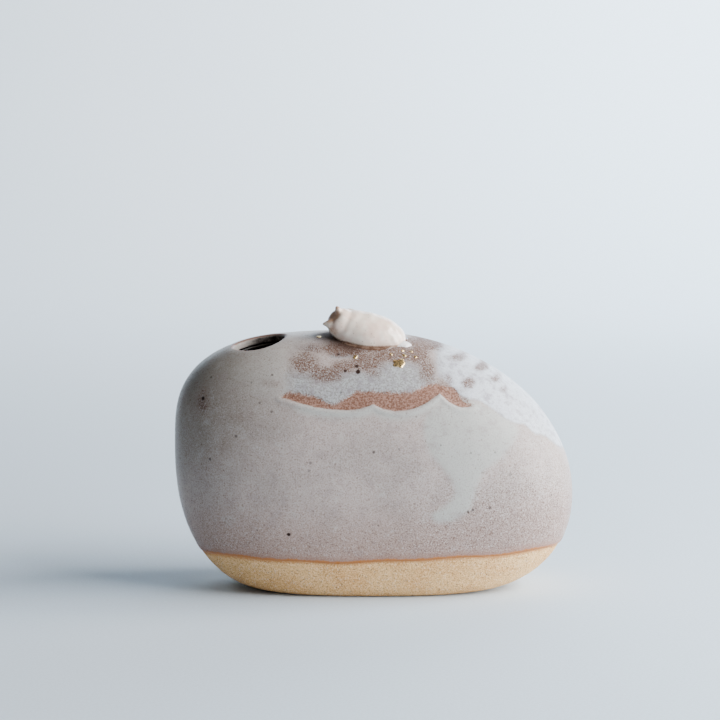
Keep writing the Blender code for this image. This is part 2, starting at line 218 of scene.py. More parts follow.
def line_height(points):
    """The height of the glaze line, which rises to the right and wanders a little."""
    x = points[..., 0]
    wander = 0.35 * np.sin(x / 9.0) + 0.2 * np.sin(x / 3.7 + 1.0)
    return GLAZE_LINE + GLAZE_RISE * smooth_step(x, 0.0, HALF_LENGTH) + wander


def line_tilt(turn):
    return tilt_where(turn, lambda points: points[..., 2] > line_height(points))


def normals_of(net):
    """Outward directions of a net of points whose columns close on themselves."""
    down = np.gradient(net, axis=0)
    around = np.roll(net, -1, axis=1) - np.roll(net, 1, axis=1)
    normal = np.cross(down, around)
    normal /= np.maximum(np.linalg.norm(normal, axis=-1, keepdims=True), 1e-9)
    outward = np.sum(normal * (net - HEART), axis=-1, keepdims=True)
    return normal * np.sign(outward)


# Where the glazes lie, from the front: x to the right and z upwards, in millimetres

BAND_LOWER_EDGE = (
    (-31, 64.5), (-26.8, 62.2), (-8, 58.9), (-0.4, 60.6), (7.0, 58.6), (19.8, 63.6), (27.5, 59.3), (33, 61),
)
BAND_UPPER_EDGE = (
    (-31, 61.0), (-25.5, 64.2), (-19, 63.4), (-12.5, 60.9), (-4, 64.6),
    (10, 64.2), (18, 66.6), (23, 65.6), (28.5, 60.6), (33, 57),
)
SHOULDER_EDGE = ((12, 73.0), (20, 67.0), (29, 61.4), (45, 53.4), (50, 50.0), (60, 44.0))
TONGUE = (
    (19, 60.5), (30, 61.0), (43, 53.5), (40, 46.0), (33, 40.0), (30.5, 33.5),
    (28.5, 28.6), (23.5, 25.2), (18.8, 25.2), (17.6, 27.6), (22.0, 30.4), (24.3, 34.5),
    (22.0, 40.0), (16.5, 47.0), (15.0, 55.0),
)
# Patches: middle x and z, half width and half height, strength.
BROWN_PATCHES = (
    (-13.5, 69.2, 4.8, 2.8, 0.85),
    (-9.0, 71.6, 5.0, 2.4, 0.75),
    (-2.5, 72.8, 6.5, 3.0, 0.85),
    (-0.5, 69.8, 3.6, 1.8, 0.60),
    (-8.0, 76.2, 10.0, 2.4, 0.85),
    (6.0, 74.8, 8.5, 2.6, 0.95),
    (13.5, 74.6, 4.4, 3.2, 0.85),
    (16.2, 70.2, 3.0, 4.6, 0.75),
    (-21.0, 72.6, 5.4, 4.0, 0.72),
    (-18.0, 69.8, 3.0, 4.0, 0.68),
    (-24.8, 71.0, 2.0, 4.0, 0.40),
    (-18.0, 76.4, 7.0, 1.6, 0.62),
    (21.0, 67.4, 3.6, 2.8, 0.50),
    (28.6, 66.3, 2.6, 1.8, 0.80),
    (17.0, 77.4, 8.5, 2.4, 0.85),
    (26.1, 73.2, 3.6, 1.2, 0.70),
    (33.4, 70.2, 3.0, 1.3, 0.75),
    (37.5, 67.0, 2.6, 1.2, 0.60),
    (39.6, 63.8, 1.8, 1.2, 0.50),
    (26.4, 64.6, 2.4, 1.2, 0.45),
    (27.6, 61.4, 1.2, 1.6, 0.60),
    (-52.0, 60.5, 2.4, 5.0, 0.55),
    (-31.0, 66.5, 4.0, 1.6, 0.40),
    (-40.0, 56.5, 4.0, 1.6, 0.30),
    (-45.0, 47.0, 3.0, 5.0, 0.25),
)
WHITE_PATCHES = (
    (-10.0, 74.4, 4.0, 0.8, 0.75),
    (7.5, 69.5, 9.5, 4.0, 0.95),
    (-24.0, 68.0, 4.0, 5.0, 0.50),
    (-20.5, 76.5, 6.0, 1.2, 0.45),
)
# Single dark spots in the glaze: x, z, radius and strength.
SPOTS = (
    (-52.1, 61.4, 0.75, 1.0),
    (-25.9, 20.9, 0.70, 1.0),
    (-0.2, 46.6, 0.55, 0.7),
    (7.4, 47.5, 0.45, 0.5),
    (-19.2, 43.2, 0.55, 0.5),
    (-41.7, 50.8, 0.50, 0.6),
    (-49.9, 43.3, 0.60, 0.6),
    (-49.8, 67.7, 0.50, 0.5),
    (-30.9, 69.0, 0.50, 0.6),
    (54.2, 31.7, 0.50, 0.6),
    (28.3, 28.0, 0.50, 0.7),
    (29.8, 28.6, 0.45, 0.7),
    (35.0, 29.1, 0.55, 0.7),
    (-10.8, 74.8, 0.70, 0.8),
    (-4.9, 70.0, 1.10, 1.0),
    (-8.8, 70.3, 0.60, 0.9),
    (-5.3, 71.6, 0.80, 0.9),
    (1.2, 24.0, 0.40, 0.5),
    (-35.5, 22.0, 0.40, 0.5),
    (-19.6, 40.8, 0.60, 0.4),
    (12.6, 57.0, 0.35, 0.5),
    (20.0, 48.5, 0.40, 0.5),
    (-37.1, 66.7, 0.35, 0.4),
    (-34.6, 60.9, 0.40, 0.5),
    (-30.9, 58.4, 0.50, 0.5),
    (-10.1, 64.2, 0.45, 0.5),
    (29.1, 46.0, 0.40, 0.5),
    (36.5, 45.9, 0.40, 0.4),
    (41.2, 39.1, 0.60, 0.4),
    (57.3, 18.1, 0.50, 0.5),
)


def lobe_step(x, start, end, rises):
    """The side of a hanging lobe, round at the bottom and sharp where lobes meet."""
    share = np.clip((x - start) / (end - start), 0.0, 1.0)
    return share**2 if rises else 1.0 - (1.0 - share) ** 2


def edge_height(x, knots, lobed=False):
    """A wavy edge through its knots, which alternate between high and low if it is lobed."""
    heights = np.full(np.shape(x), float(knots[0][1]))
    for (start, first), (end, last) in zip(knots, knots[1:]):
        share = lobe_step(x, start, end, last > first) if lobed else smooth_step(x, start, end)
        heights = np.where(x >= start, first + (last - first) * share, heights)
    return heights


def patches(x, z, rows):
    """The strongest of several soft oval patches."""
    found = np.zeros(np.shape(x))
    for middle_x, middle_z, half_width, half_height, strength in rows:
        reach = ((x - middle_x) / half_width) ** 2 + ((z - middle_z) / half_height) ** 2
        found = np.maximum(found, strength * np.exp(-(reach**1.5)))
    return found


def smooth_loop(corners, steps=8):
    """Points of a closed Catmull-Rom curve through its corners."""
    points = []
    count = len(corners)
    for index in range(count):
        before, start, end, after = (
            np.array(corners[(index + shift) % count], float) for shift in (-1, 0, 1, 2)
        )
        for step in range(steps):
            t = step / steps
            point = 2 * start + (end - before) * t
            point += (2 * before - 5 * start + 4 * end - after) * t**2
            point += (3 * start - before - 3 * end + after) * t**3
            points.append(point / 2)
    return np.array(points)


def distance_inside(x, z, loop):
    """How far points lie inside a closed curve, negative outside."""
    place = np.stack((x, z), axis=-1)
    nearest = np.full(x.shape, 1e9)
    crossings = np.zeros(x.shape, int)
    for start, end in zip(loop, np.roll(loop, -1, axis=0)):
        edge = end - start
        share = np.clip((place - start) @ edge / (edge @ edge), 0.0, 1.0)
        gap = np.linalg.norm(place - start - share[..., None] * edge, axis=-1)
        nearest = np.minimum(nearest, gap)
        straddles = (start[1] > z) != (end[1] > z)
        if abs(edge[1]) > 1e-9:
            crossings += straddles & (x < start[0] + (z - start[1]) / edge[1] * edge[0])
    return np.where(crossings % 2 == 1, nearest, -nearest)


def face_paint(x, z, sway):
    """The paint of one face of the pebble, as named amounts and distances.

    The sway frays the side edges of the pour.
    """
    paint = {}
    paint["above_edge"] = z - edge_height(x, BAND_LOWER_EDGE, lobed=True)
    paint["below_edge"] = edge_height(x, BAND_UPPER_EDGE) - z
    paint["tongue"] = distance_inside(x, z, smooth_loop(TONGUE))
    in_pour = smooth_step(x + sway, -32.0, -20.0)
    above_band = smooth_step(-paint["below_edge"], -1.5, 0.6) * in_pour
    washed = 0.85 * (1.0 - smooth_step(z, 68.0, 72.5)) * (1.0 - smooth_step(x, 16.0, 22.0))
    shoulder = smooth_step(z - edge_height(x, SHOULDER_EDGE), -0.8, 1.6) * smooth_step(x, 14.0, 24.0)
    paint["white"] = np.maximum(np.maximum(patches(x, z, WHITE_PATCHES), washed) * above_band, shoulder)
    paint["shoulder"] = shoulder
    paint["brown"] = patches(x, z, BROWN_PATCHES)
    hanging = bump(paint["above_edge"], -1.3, 1.6)
    lip = hanging * smooth_step(x, -28.0, -20.0) * (1.0 - smooth_step(x, 26.0, 33.0))
    near_mouth = 0.7 * smooth_step(z + 0.12 * x, 52.0, 66.0) * (1.0 - smooth_step(x + sway, -34.0, -14.0))
    paint["cream"] = np.maximum(np.maximum(lip, near_mouth), smooth_step(paint["tongue"], -1.4, 1.2))
    return paint


def from_mouth(points):
    """The distance outside the oval of the mouth."""
    offset = points - MOUTH_PLACE
    oval = np.hypot(offset @ MOUTH_ALONG / MOUTH_HALF_LENGTH, offset @ MOUTH_ACROSS / MOUTH_HALF_DEPTH)
    return (oval - 1.0) * MOUTH_HALF_DEPTH


def coat_paint(points):
    """The paint of the whole coat. The back has the front's, turned end for end and set lower."""
    x, y, z = (points[..., axis] for axis in range(3))
    sway = 5.0 * noise_of(points, 14.0, 7.0)
    behind = smooth_step(y + sway, 0.0, 13.0)
    front = face_paint(x, z, sway)
    back = face_paint(4.0 - x, z + 2.5, sway)
    back["white"] = back["white"] * (1.0 - smooth_step(4.0 - x + 1.5 * sway, 30.0, 52.0))
    paint = {name: front[name] * (1.0 - behind) + back[name] * behind for name in front}
    above_line = z - line_height(points)
    paint["above_line"] = above_line
    lower_right = smooth_step(x, 0.0, 45.0) * (1.0 - smooth_step(z, 24.0, 48.0))
    low = 1.0 - smooth_step(above_line, 2.0, 20.0)
    smooth_parts = np.maximum(paint["cream"], paint["white"])
    paint["speckle"] = (0.38 + 0.34 * low + 0.80 * lower_right) * (1.0 - 0.75 * smooth_parts)
    # Painted shade: the left end, which turns away from the light, is drawn darker and greener.
    paint["left_end_shade"] = smooth_step(-x, 16.0, 54.0) * smooth_step(z, 26.0, 54.0)
    paint["from_mouth"] = from_mouth(points)
    # The dark around the animal's foot, strongest under its chin, is partly dark brown glaze and partly
    # painted shade.
    foot_x, foot_y, half_length, half_depth = ANIMAL_FOOT
    oval = np.hypot((x - foot_x) / half_length, (y - foot_y) / half_depth)
    under_chin = smooth_step(-x, 1.0, 8.0)
    foot_shade_and_glaze = 1.0 - smooth_step(((oval - 1.0) * half_depth - 0.5) / (2.4 + 3.6 * under_chin), 0.0, 1.0)
    paint["foot_shade_and_glaze"] = foot_shade_and_glaze * (0.45 + 0.55 * under_chin) * (z > CROWN - 14.0)
    # Painted shade in the neck: its right side, away from the light, is drawn dark.
    paint["shaded_neck"] = smooth_step(x, MOUTH_X - 6.5, MOUTH_X + 0.5)
    return paint


def coat_relief(points, paint):
    """How far the glaze stands out of the even pebble surface."""
    relief = 0.16 * noise_of(points, 26.0, 3.0) + 0.05 * noise_of(points, 9.0, 5.0)
    on_band = smooth_step(paint["above_edge"], -0.1, 0.5) * smooth_step(paint["below_edge"], -0.8, 0.8)
    relief -= 0.22 * on_band
    near_band = smooth_step(paint["below_edge"], -1.5, 0.5)
    relief += 0.22 * bump(paint["above_edge"], -0.75, 0.8) * near_band
    low_down = 1.0 - smooth_step(points[..., 2], 44.0, 56.0)
    relief += 0.08 * smooth_step(paint["tongue"], -1.2, 1.6) * low_down
    relief += 0.10 * bump(paint["above_line"], 1.4, 1.5)
    relief -= 0.25 * (1.0 - smooth_step(paint["above_line"], 0.0, 0.7))
    relief += 0.12 * bump(paint["from_mouth"], 2.2, 1.8)
    return relief


# Meshes


def net_faces(row_count, column_count, closed_rows):
    """Quads between the rows of a net whose columns close on themselves."""
    last = row_count if closed_rows else row_count - 1
    row, column = np.meshgrid(np.arange(last), np.arange(column_count), indexing="ij")
    next_row = (row + 1) % row_count
    next_column = (column + 1) % column_count
    corners = ((row, column), (next_row, column), (next_row, next_column), (row, next_column))
    return np.stack([r * column_count + c for r, c in corners], axis=-1).reshape(-1, 4)


def add_object(name, data):
    made = bpy.data.objects.new(name, data)
    bpy.context.scene.collection.objects.link(made)
    return made


def add_piece(name, mesh, material, slot, *nodes):
    """Adds a piece that rides with the vase and stands for CAD nodes."""
    piece = add_object(name, mesh)
    mesh.materials.append(material)
    mesh.shade_smooth()
    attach(piece, BODY)
    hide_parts(*nodes)
    return piece


def face_outwards(mesh):
    shape = bmesh.new()
    shape.from_mesh(mesh)
    bmesh.ops.recalc_face_normals(shape, faces=shape.faces)
    shape.to_mesh(mesh)
    shape.free()


def mesh_from_net(name, net, closed_rows=False, caps=()):
    """A mesh of a net in millimetres.

    caps lists the end rows, 0 or -1, that a fan to a middle point closes.
    """
    rows, columns = net.shape[:2]
    points = [net.reshape(-1, 3)]
    faces = net_faces(rows, columns, closed_rows).tolist()
    for count, end in enumerate(caps):
        start = 0 if end == 0 else (rows - 1) * columns
        tip = rows * columns + count
        points.append(net[end].mean(axis=0, keepdims=True))
        faces += [(start + index, start + (index + 1) % columns, tip) for index in range(columns)]
    mesh = bpy.data.meshes.new(name)
    mesh.from_pydata((np.concatenate(points) * MM).tolist(), [], faces)
    face_outwards(mesh)
    return mesh


def store_paint(mesh, paint):
    """Keeps the paint as attributes of the points, with 0 for the points past the painted rows."""
    for name, values in paint.items():
        whole = np.zeros(len(mesh.vertices), np.float32)
        whole[: values.size] = values.ravel()
        mesh.attributes.new(name, "FLOAT", "POINT").data.foreach_set("value", whole)


def full_turn(count):
    return np.linspace(0.0, 2 * math.pi, count, endpoint=False)


def crowded_turns(count):
    """Turns around the pole, closer together on the front."""
    even = np.linspace(-math.pi, math.pi, count, endpoint=False)
    return even - FRONT_CROWDING * np.sin(even)


def coat_net():
    """The outside of the glaze, from the lip of the mouth to the glaze line."""
    turn = crowded_turns(COAT_COLUMNS)
    start = mouth_tilt(turn, LIP_RADIUS)
    end = line_tilt(turn)
    even = np.linspace(0.0, 1.0, COAT_ROWS)
    share = 0.5 * even + 0.5 * smooth_step(even, 0.0, 1.0)
    tilt = start + (end - start) * share[:, None]
    return reach_surface(ray(tilt, np.broadcast_to(turn, tilt.shape)))


def lip_rows(edge_ring, neck_ring):
    """Rings that roll from the surface over the lip and down the neck of the mouth."""
    rows = []
    for angle in np.linspace(0.0, math.pi / 2, 7)[1:]:
        ring = neck_ring + (edge_ring - neck_ring) * (1.0 - math.sin(angle))
        rows.append(ring - MOUTH_OUT * LIP_RADIUS * (1.0 - math.cos(angle)))
    return rows


def wall_at(points):
    """The wall is pinched thinner around the mouth."""
    return RIM_WALL + (WALL - RIM_WALL) * smooth_step(from_mouth(points), 1.0, 16.0)


def make_coat(material):
    outside = coat_net()
    normal = normals_of(outside)
    paint = coat_paint(outside)
    outside_relief = outside + normal * coat_relief(outside, paint)[..., None]
    turn = crowded_turns(COAT_COLUMNS)
    neck_top = reach_surface(ray(mouth_tilt(turn, 0.0), turn))
    lip = lip_rows(outside_relief[0], neck_top)
    neck = [lip[-1] - MOUTH_OUT * depth for depth in NECK_DEPTHS]
    every = COAT_ROWS // COAT_WALL_ROWS
    inner = outside[::every] - normal[::every] * wall_at(outside[::every])[..., None]
    foot_edge = outside[-1] - normal[-1] * COAT_FOOT_WALL
    loops = [outside_relief[::-1], np.array(lip), np.array(neck), inner[1:], foot_edge[None]]
    net = np.concatenate(loops)
    paint = coat_paint(net)
    hidden = len(outside)
    for name, value in HIDDEN_PAINT.items():
        paint[name][hidden:] = value
    walls = hidden + len(lip) + len(neck)
    # Past the neck, the inside of the wall takes the full painted shade.
    paint["from_mouth"][walls:] = -1.0
    paint["shaded_neck"][walls:] = 1.0
    mesh = mesh_from_net("glaze_coat", net, closed_rows=True)
    store_paint(mesh, paint)
    nodes = ("outer_glaze", "white_overglaze", "upper_half")
    return add_piece("glaze_coat", mesh, material, "speckled_glaze", *nodes)


def level_ring(turn, height, depth):
    """A level ring around the pebble at a height, moved inwards."""
    middle, half_length, half_depth = slice_at(height)
    cos, sin = np.cos(turn), np.sin(turn)
    size = (np.abs(cos) ** SLICE_POWER + np.abs(sin) ** SLICE_POWER) ** (1.0 / SLICE_POWER)
    along = (half_length - depth) * cos / size
    across = (half_depth - depth) * sin / size
    return np.stack((middle + along, across, np.broadcast_to(height, turn.shape)), axis=-1)


FOOT_COLUMNS = 360
FOOT_ROWS = 46
FOOT_ROW_POWER = 1.7
FOOT_START = 0.02
FOOT_OVERLAP = 1.2
FOOT_RECESS = 0.30


def make_foot(material):
    """The bare clay: a bowl whose rim runs up behind the coat."""
    turn = full_turn(FOOT_COLUMNS)
    rings = []
    for share in np.linspace(0.0, 1.0, FOOT_ROWS) ** FOOT_ROW_POWER:
        ring = level_ring(turn, FOOT_START + share * (GLAZE_LINE + GLAZE_RISE), 0.0)
        top = line_height(ring) + FOOT_OVERLAP
        height = FOOT_START + share * (top - FOOT_START)
        ring = level_ring(turn, height, FOOT_RECESS * smooth_step(share, 0.0, 0.5))
        rings.append(ring)
    outside = np.array(rings)
    grain = 0.07 * noise_of(outside, 2.2, 1.0)
    grain += 0.05 * noise_of(outside, 0.9, 2.0)
    grain += 0.12 * noise_of(outside, 14.0, 8.0)
    outside += normals_of(outside) * (grain * smooth_step(outside[..., 2], 0.1, 1.5))[..., None]
    outside[0, :, 2] = 0.0
    rim = outside[-1]
    inside = [rim + (HEART - rim) * [0.09, 0.16, 0.0]]
    inside += [level_ring(turn, height, WALL + 1.0) for height in (GLAZE_LINE - 3.0, WALL + 2.0)]
    floor = level_ring(turn, 1.5, WALL)
    floor[:, 2] = WALL
    net = np.concatenate((outside, np.array(inside + [floor])))
    mesh = mesh_from_net("clay_foot", net, caps=(0, -1))
    store_paint(mesh, {"under_line": line_height(net) - net[..., 2]})
    return add_piece("clay_foot", mesh, material, "stoneware_clay", "lower_half")


HOLLOW_COLUMNS = 120
HOLLOW_ROWS = 70
HOLLOW_MOUTH_EASE = 0.6
HOLLOW_END_TILT = math.pi - 0.03
LINER_GAP = 0.3
LINER_DEPTH = 0.8


def make_hollow(material):
    """The glazed skin of the hollow, open at the mouth."""
    turn = np.linspace(-math.pi, math.pi, HOLLOW_COLUMNS, endpoint=False)
    start = mouth_tilt(turn, HOLLOW_MOUTH_EASE)
    share = np.linspace(0.0, 1.0, HOLLOW_ROWS)[:, None]
    tilt = start + (HOLLOW_END_TILT - start) * share
    skin = reach_surface(ray(tilt, np.broadcast_to(turn, tilt.shape)))
    normal = normals_of(skin)
    wall = wall_at(skin)[..., None]
    outer = skin - normal * (wall + LINER_GAP)
    inner = skin - normal * (wall + LINER_DEPTH)
    net = np.concatenate((outer[::-1], inner))
    mesh = mesh_from_net("inner_glaze", net, caps=(0, -1))
    return add_piece("inner_glaze", mesh, material, "liner_glaze", "liner_glaze")


# Each lump of the little animal: middle and half sizes in millimetres, turns about y and z in radians.
ANIMAL_LUMPS = (
    ((-1.4, -8.4, 79.9), (10.2, 8.0, 6.7), (0.10, 0.0)),
    ((4.0, -9.2, 78.9), (6.0, 6.2, 5.2), (0.32, 0.15)),
    ((1.4, -8.8, 79.4), (8.2, 7.3, 6.1), (0.20, 0.08)),
    ((-3.6, -8.6, 80.9), (8.3, 7.4, 6.3), (-0.05, 0.0)),
    ((-6.2, -8.9, 81.8), (6.8, 6.5, 5.9), (-0.2, 0.0)),
    ((-9.8, -10.0, 83.6), (4.7, 4.8, 4.8), (-0.3, 0.0)),
)
# Its snout and ears, which stand out of the flat of its face.
ANIMAL_POINTS = (
    ((-12.7, -11.6, 83.2), (2.5, 1.9, 1.6), (0.35, 0.0)),
    ((-14.4, -11.7, 83.5), (1.6, 0.9, 0.8), (0.1, 0.0)),
    ((-10.7, -11.6, 87.2), (1.0, 1.4, 2.3), (-0.45, 0.3)),
    ((-7.2, -7.8, 87.0), (2.2, 0.9, 1.1), (0.2, -0.2)),
)
FACE_MIDDLE = Vector((-12.2, -11.8, 85.8))
FACE_OUTWARD = Vector((-0.66, -0.46, 0.60)).normalized()
ANIMAL_VOXEL = 0.22
ANIMAL_SMOOTHING = 34
ANIMAL_CORE = np.array([-2.0, -8.0, 79.5])
ANIMAL_SINK = 0.35
# Brown glaze and painted shade on the animal: middle, radius and strength. The ears are brown glaze, the
# face is brown glaze with painted shade, and under the chin is painted shade.
ANIMAL_STAINS_AND_SHADE = (
    ((-12.3, -11.9, 86.0), 2.5, 1.00),
    ((-13.4, -11.8, 84.6), 1.6, 0.85),
    ((-15.2, -11.7, 83.6), 1.1, 0.55),
    ((-11.2, -11.8, 88.6), 1.2, 0.80),
    ((-6.8, -8.2, 88.0), 1.6, 0.50),
    ((-12.6, -13.6, 81.4), 2.2, 0.60),
    ((-2.0, -9.0, 87.0), 3.0, 0.25),
    ((4.6, -12.0, 84.0), 3.4, 0.25),
    ((8.6, -12.0, 81.0), 1.6, 0.35),
)
# Ovals on the ground plan: middle x and y, half length and half depth.
ANIMAL_FOOT = (-1.3, -8.2, 10.2, 7.2)
PUDDLE = (8.0, -12.6, 3.4, 1.6)
PUDDLE_COLUMNS, PUDDLE_ROWS = 64, 14
BOND_COLUMNS = 180
BOND_HALF_WIDTH = 1.3
BOND_HEIGHT = 0.28
GOLD_COLUMNS = 28
GOLD_CORNERS = 7
# A flake with a larger half size than this has the torn outline of several grains.
GOLD_CLUSTER_SIZE = 1.0
# Gold leaf: x, y and half size of each flake.
GOLD_PLACES = (
    (-17.0, -9.5, 0.75),
    (-5.7, -19.3, 0.80),
    (5.2, -17.8, 0.60),
    (9.1, -17.6, 0.65),
    (12.5, -17.5, 0.60),
    (11.4, -15.6, 0.50),
    (8.7, -15.9, 0.50),
    (7.7, -20.4, 1.55),
)


def applied(obj, name):
    """The object's mesh with its modifiers applied. The object itself is removed."""
    graph = bpy.context.evaluated_depsgraph_get()
    mesh = bpy.data.meshes.new_from_object(obj.evaluated_get(graph))
    mesh.name = name
    bpy.data.objects.remove(obj)
    return mesh


def points_of(mesh):
    flat = np.empty(3 * len(mesh.vertices), np.float32)
    mesh.vertices.foreach_get("co", flat)
    return flat.reshape(-1, 3).astype(float) / MM


def add_lumps(shape, rows):
    for middle, half_sizes, (tilt, turn) in rows:
        place = Matrix.Translation(Vector(middle) * MM) @ Euler((0.0, tilt, turn)).to_matrix().to_4x4()
        lump = place @ Matrix.Diagonal((*(Vector(half_sizes) * MM), 1.0))
        bmesh.ops.create_icosphere(shape, subdivisions=4, radius=1.0, matrix=lump)


def make_animal(material):
    shape = bmesh.new()
    add_lumps(shape, ANIMAL_LUMPS)
    for vertex in shape.verts:
        proud = max(0.0, (vertex.co / MM - FACE_MIDDLE).dot(FACE_OUTWARD))
        vertex.co -= FACE_OUTWARD * proud * MM
    add_lumps(shape, ANIMAL_POINTS)
    mesh = bpy.data.meshes.new("animal_lumps")
    shape.to_mesh(mesh)
    shape.free()
    rough = add_object("animal_lumps", mesh)
    remesh = rough.modifiers.new("remesh", "REMESH")
    remesh.mode = "VOXEL"
    remesh.voxel_size = ANIMAL_VOXEL * MM
    smooth = rough.modifiers.new("smooth", "SMOOTH")
    smooth.factor = 0.5
    smooth.iterations = ANIMAL_SMOOTHING
    mesh = applied(rough, "animal")
    points = points_of(mesh)
    x, y = points[:, 0], points[:, 1]
    folds = 0.05 * np.sin(2.6 * x + 1.6 * (points[:, 2] - 80.0)) * smooth_step(x, 3.0, 6.0)
    lumps = 0.16 * noise_of(points, 4.5, 2.0) + 0.06 * noise_of(points, 1.6, 4.0)
    outward = points - ANIMAL_CORE
    outward /= np.linalg.norm(outward, axis=1, keepdims=True)
    points += outward * (folds + lumps)[:, None]
    seat = surface_height(x, y) - ANIMAL_SINK
    points[:, 2] = np.maximum(points[:, 2], seat)
    mesh.vertices.foreach_set("co", (points * MM).astype(np.float32).ravel())
    # Brown glaze marks, with painted shade on the face and under the chin.
    stain_and_shade = np.zeros(len(points))
    for middle, radius, strength in ANIMAL_STAINS_AND_SHADE:
        reach = np.linalg.norm(points - np.array(middle), axis=1)
        stain_and_shade = np.maximum(stain_and_shade, strength * (1.0 - smooth_step(reach, 0.3 * radius, 1.5 * radius)))
    foot = 1.0 - smooth_step(points[:, 2] - seat, 0.5, 1.9)
    store_paint(mesh, {"stain_and_shade": stain_and_shade, "foot": foot})
    nodes = ("animal_body", "animal_head", "animal_ear_front", "animal_ear_back", "animal_tail")
    return add_piece("animal", mesh, material, "porcelain", *nodes)


def ridge_rows(path, half_width, height, sides=8):
    """Rows of points of a low rounded ridge that lies on the pebble along a closed path."""
    ahead = np.roll(path, -1, axis=0) - np.roll(path, 1, axis=0)
    sideways = np.stack((ahead[:, 1], -ahead[:, 0]), axis=1)
    sideways /= np.linalg.norm(sideways, axis=1, keepdims=True)
    rows = []
    for angle in full_turn(sides):
        plan = path + sideways * half_width * math.cos(angle)
        lift = height * math.sin(angle)
        rows.append(np.column_stack((plan, surface_height(plan[:, 0], plan[:, 1]) + lift)))
    return np.array(rows)


def make_bond(material):
    """The glaze that ran together around the animal's foot."""
    turn = full_turn(BOND_COLUMNS)
    middle_x, middle_y, half_length, half_depth = ANIMAL_FOOT
    swell = 1.0 + 0.05 * np.sin(3 * turn) + 0.04 * np.sin(5 * turn + 1.0)
    path_x = middle_x + half_length * swell * np.cos(turn)
    path_y = middle_y + half_depth * swell * np.sin(turn)
    net = ridge_rows(np.column_stack((path_x, path_y)), BOND_HALF_WIDTH, BOND_HEIGHT)
    mesh = mesh_from_net("bond_fillet", net, closed_rows=True)
    return add_piece("bond_fillet", mesh, material, "bond_glaze", "figure_bond")


def make_puddle(material):
    """A thick drop of white glaze that froze against the animal's rump."""
    turn = full_turn(PUDDLE_COLUMNS)
    x, y, half_length, half_depth = PUDDLE
    rows = []
    for share in np.linspace(1.0, 0.04, PUDDLE_ROWS):
        wave = 1.0 + 0.10 * np.sin(2 * turn + 0.6) + 0.06 * np.sin(5 * turn)
        plan_x = x + half_length * share * wave * np.cos(turn)
        plan_y = y + half_depth * share * wave * np.sin(turn)
        lift = 1.5 * math.sqrt(1.0 - share**2) - 0.3
        rows.append(np.column_stack((plan_x, plan_y, surface_height(plan_x, plan_y) + lift)))
    under = rows[0] - np.array([0.0, 0.0, 0.5])
    mesh = mesh_from_net("tail_puddle", np.array([under] + rows), caps=(0, -1))
    return add_piece("tail_puddle", mesh, material, "bond_glaze", "figure_bond")


def make_gold(number, x, y, half_size, material):
    """A torn flake of gold leaf that follows the glaze."""
    rng = np.random.default_rng(number)
    turn = full_turn(GOLD_COLUMNS)
    points_out = rng.uniform(0.6, 1.15, GOLD_CORNERS)
    corner_turns = np.linspace(0.0, 2 * math.pi, GOLD_CORNERS + 1)
    reach = half_size * np.interp(turn, corner_turns, np.append(points_out, points_out[0]))
    if half_size > GOLD_CLUSTER_SIZE:
        reach *= 1.0 + 0.35 * np.abs(np.cos(2.5 * turn))
    middle, along, across, normal = (np.array(v) for v in surface_frame(x, y))
    outwards = np.cos(turn)[:, None] * along + np.sin(turn)[:, None] * across
    rows = []
    for share, lift in ((1.0, -0.3), (1.0, 0.10), (0.75, 0.20), (0.4, 0.18 + 0.08 * rng.random())):
        plan = middle + (reach * share)[:, None] * outwards
        crumple = 0.08 * noise_of(plan, 0.7, float(number))
        rows.append(plan + normal * (lift + crumple)[:, None])
    mesh = mesh_from_net("gold_leaf_%d" % number, np.array(rows), caps=(0, -1))
    return add_piece("gold_leaf_%d" % number, mesh, material, "gold", "gold_fleck_%d" % number)


# Materials


